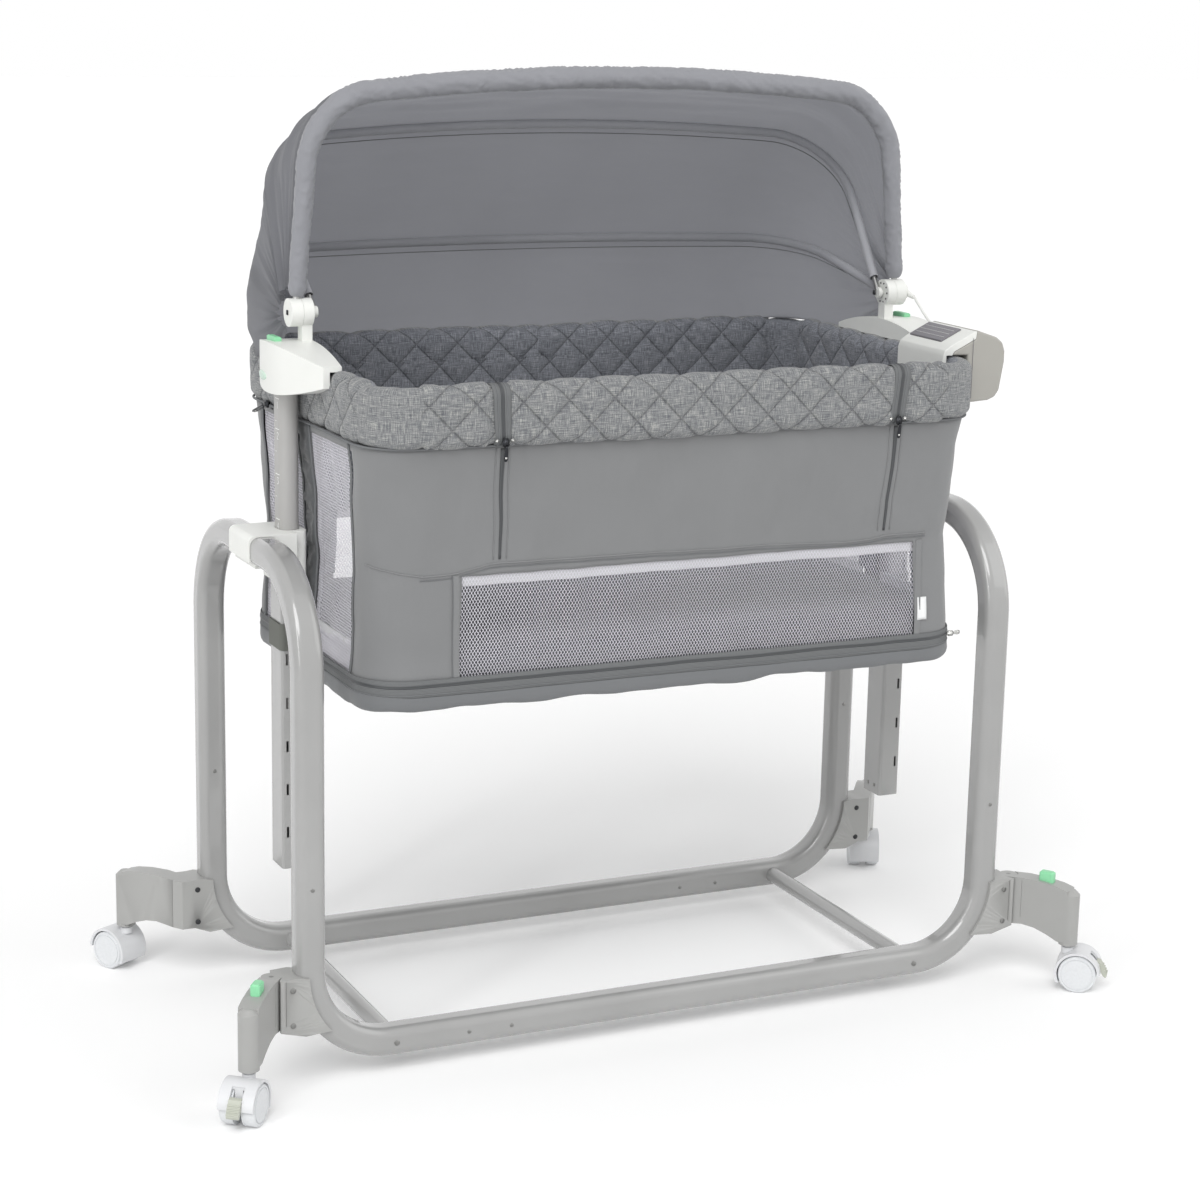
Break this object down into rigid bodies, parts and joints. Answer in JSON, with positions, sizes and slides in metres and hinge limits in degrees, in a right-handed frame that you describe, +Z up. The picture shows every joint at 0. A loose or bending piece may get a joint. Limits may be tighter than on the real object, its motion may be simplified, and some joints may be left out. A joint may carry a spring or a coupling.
{
  "type": "bassinet on stand",
  "caption": "Wheeled tubular stand with telescoping posts that carry a padded fabric cradle with mesh sides, a folding hooped canopy and a clip-on soothing unit.",
  "frame": {"origin": "middle of the stand at floor level, under the centre of the cradle", "axes": "+X along the cradle towards the end with the soothing unit, +Y towards the side that the canopy folds to, +Z up"},
  "size_m": [1.2253, 0.6324, 1.1914],
  "materials": {
    "stand_enamel": "satin powder coat",
    "post_metal": "satin powder coat with a fine grain",
    "rod_steel": "drawn wire, bright",
    "screw_steel": "zinc plated",
    "white_moulding": "fine spark texture",
    "foot_moulding": "satin moulded grey",
    "green_button": "smooth moulded green",
    "caster_plastic": "smooth moulded pale grey",
    "wheel_rubber": "pale non-marking tread",
    "pedal_plastic": "ribbed moulded grey green",
    "slider_plastic": "low friction acetal",
    "canopy_cloth": "plain close weave",
    "rim_cloth": "padded plain weave",
    "heather_cloth": "marled soft weave",
    "base_cloth": "marled soft weave over a stiff base",
    "mesh_cloth": "fine open mesh",
    "mattress_cloth": "quilted soft cover",
    "strap_webbing": "woven webbing",
    "unit_grey": "fine spark texture, warm grey",
    "panel_plastic": "smooth dark panel",
    "lead_sheath": "soft white sheath"
  },
  "bodies": {
    "stand": {"left_u_frame": "stand_enamel", "right_u_frame": "stand_enamel", "front_short_tube": "stand_enamel", "front_long_tube": "stand_enamel", "rear_short_tube": "stand_enamel", "rear_long_tube": "stand_enamel", "crossbars": "stand_enamel", "frame_fasteners": "screw_steel", "post_collars": "white_moulding", "left_outer_post": "stand_enamel", "right_outer_post": "stand_enamel", "rear_left_foot": "foot_moulding", "rear_right_foot": "foot_moulding", "front_left_foot": "foot_moulding", "front_right_foot": "foot_moulding", "foot_hinge_pins": "screw_steel"},
    "cradle": {"left_inner_post": "post_metal", "right_inner_post": "post_metal", "slider_shoes": "slider_plastic", "left_end_bracket": "white_moulding", "right_end_bracket": "white_moulding", "canopy_uprights": "white_moulding", "rim_rail": "rod_steel", "padded_rim": "rim_cloth", "front_wall": "rim_cloth", "rear_wall": "rim_cloth", "left_wall": "rim_cloth", "right_wall": "rim_cloth", "mesh_windows": "mesh_cloth", "base_tray": "base_cloth", "mattress": "mattress_cloth", "post_straps": "strap_webbing", "unit_cover": "white_moulding", "unit_body": "unit_grey", "unit_panel": "panel_plastic", "canopy_lead": "lead_sheath", "lead_relief": "white_moulding", "rear_hoop": "rod_steel", "canopy_skirt": "heather_cloth"},
    "canopy_middle": {"mid_hoop": "rod_steel", "rear_canopy": "canopy_cloth"},
    "canopy_front": {"front_hoop": "rod_steel", "hoop_sleeve": "canopy_cloth", "front_canopy": "canopy_cloth"},
    "left_bracket_button": {"left_release_button": "green_button"},
    "right_bracket_button": {"right_release_button": "green_button"},
    "front_left_swing_foot": {"front_left_arm": "foot_moulding"},
    "front_right_swing_foot": {"front_right_arm": "foot_moulding"},
    "front_left_foot_catch": {"front_left_foot_button": "green_button"},
    "front_right_foot_catch": {"front_right_foot_button": "green_button"},
    "front_left_caster_fork": {"front_left_caster": "caster_plastic"},
    "front_left_caster_roller": {"front_left_wheels": "wheel_rubber"},
    "front_left_brake_pedal": {"front_left_brake": "pedal_plastic"},
    "front_right_caster_fork": {"front_right_caster": "caster_plastic"},
    "front_right_caster_roller": {"front_right_wheels": "wheel_rubber"},
    "front_right_brake_pedal": {"front_right_brake": "pedal_plastic"},
    "rear_left_caster_fork": {"rear_left_caster": "caster_plastic"},
    "rear_left_caster_roller": {"rear_left_wheels": "wheel_rubber"},
    "rear_right_caster_fork": {"rear_right_caster": "caster_plastic"},
    "rear_right_caster_roller": {"rear_right_wheels": "wheel_rubber"}
  },
  "joints": [
    {"name": "cradle_height", "type": "slide", "parent": "stand", "child": "cradle", "axis": [0, 0, 1], "range_m": [-0.11, 0.055]},
    {"name": "canopy_middle_fold", "type": "hinge", "parent": "cradle", "child": "canopy_middle", "pos_m": [0, 0, 0.899], "axis": [-1, 0, 0], "range_deg": [0, 27]},
    {"name": "canopy_front_fold", "type": "hinge", "parent": "canopy_middle", "child": "canopy_front", "pos_m": [0, 0, 0.899], "axis": [-1, 0, 0], "range_deg": [0, 27]},
    {"name": "left_bracket_press", "type": "slide", "parent": "cradle", "child": "left_bracket_button", "axis": [0, 0, -1], "range_m": [0, 0.005], "stiffness_N_per_m": 900, "springref_m": -0.003},
    {"name": "front_left_foot_fold", "type": "hinge", "parent": "stand", "child": "front_left_swing_foot", "pos_m": [-0.514, -0.194, 0.11], "axis": [0, 0, 1], "range_deg": [-57, 0]},
    {"name": "front_left_foot_press", "type": "slide", "parent": "front_left_swing_foot", "child": "front_left_foot_catch", "axis": [0, 0, -1], "range_m": [0, 0.004], "stiffness_N_per_m": 900, "springref_m": -0.003},
    {"name": "right_bracket_press", "type": "slide", "parent": "cradle", "child": "right_bracket_button", "axis": [0, 0, -1], "range_m": [0, 0.005], "stiffness_N_per_m": 900, "springref_m": -0.003},
    {"name": "front_right_foot_fold", "type": "hinge", "parent": "stand", "child": "front_right_swing_foot", "pos_m": [0.514, -0.194, 0.11], "axis": [0, 0, 1], "range_deg": [0, 57]},
    {"name": "front_right_foot_press", "type": "slide", "parent": "front_right_swing_foot", "child": "front_right_foot_catch", "axis": [0, 0, -1], "range_m": [0, 0.004], "stiffness_N_per_m": 900, "springref_m": -0.003},
    {"name": "front_left_swivel", "type": "hinge", "parent": "front_left_swing_foot", "child": "front_left_caster_fork", "pos_m": [-0.565, -0.266, 0.07], "axis": [0, 0, 1], "continuous": true},
    {"name": "front_left_roll", "type": "hinge", "parent": "front_left_caster_fork", "child": "front_left_caster_roller", "pos_m": [-0.57507, -0.27843, 0.025], "axis": [0.7771, -0.6293, 0], "continuous": true},
    {"name": "front_left_brake_press", "type": "hinge", "parent": "front_left_caster_fork", "child": "front_left_brake_pedal", "pos_m": [-0.59143, -0.29864, 0.038], "axis": [0.7771, -0.6293, 0], "range_deg": [0, 10]},
    {"name": "front_right_swivel", "type": "hinge", "parent": "front_right_swing_foot", "child": "front_right_caster_fork", "pos_m": [0.565, -0.266, 0.07], "axis": [0, 0, 1], "continuous": true},
    {"name": "front_right_roll", "type": "hinge", "parent": "front_right_caster_fork", "child": "front_right_caster_roller", "pos_m": [0.57726, -0.27629, 0.025], "axis": [0.6428, 0.766, 0], "continuous": true},
    {"name": "front_right_brake_press", "type": "hinge", "parent": "front_right_caster_fork", "child": "front_right_brake_pedal", "pos_m": [0.59717, -0.293, 0.038], "axis": [0.6428, 0.766, 0], "range_deg": [0, 10]},
    {"name": "rear_left_swivel", "type": "hinge", "parent": "stand", "child": "rear_left_caster_fork", "pos_m": [-0.565, 0.266, 0.07], "axis": [0, 0, 1], "continuous": true},
    {"name": "rear_left_roll", "type": "hinge", "parent": "rear_left_caster_fork", "child": "rear_left_caster_roller", "pos_m": [-0.573, 0.27986, 0.025], "axis": [-0.866, -0.5, 0], "continuous": true},
    {"name": "rear_right_swivel", "type": "hinge", "parent": "stand", "child": "rear_right_caster_fork", "pos_m": [0.565, 0.266, 0.07], "axis": [0, 0, 1], "continuous": true},
    {"name": "rear_right_roll", "type": "hinge", "parent": "rear_right_caster_fork", "child": "rear_right_caster_roller", "pos_m": [0.57176, 0.2805, 0.025], "axis": [-0.9063, 0.4226, 0], "continuous": true}
  ],
  "couplings": [
    {"joint": "canopy_front_fold", "follows": "canopy_middle_fold", "ratio": 1}
  ]
}
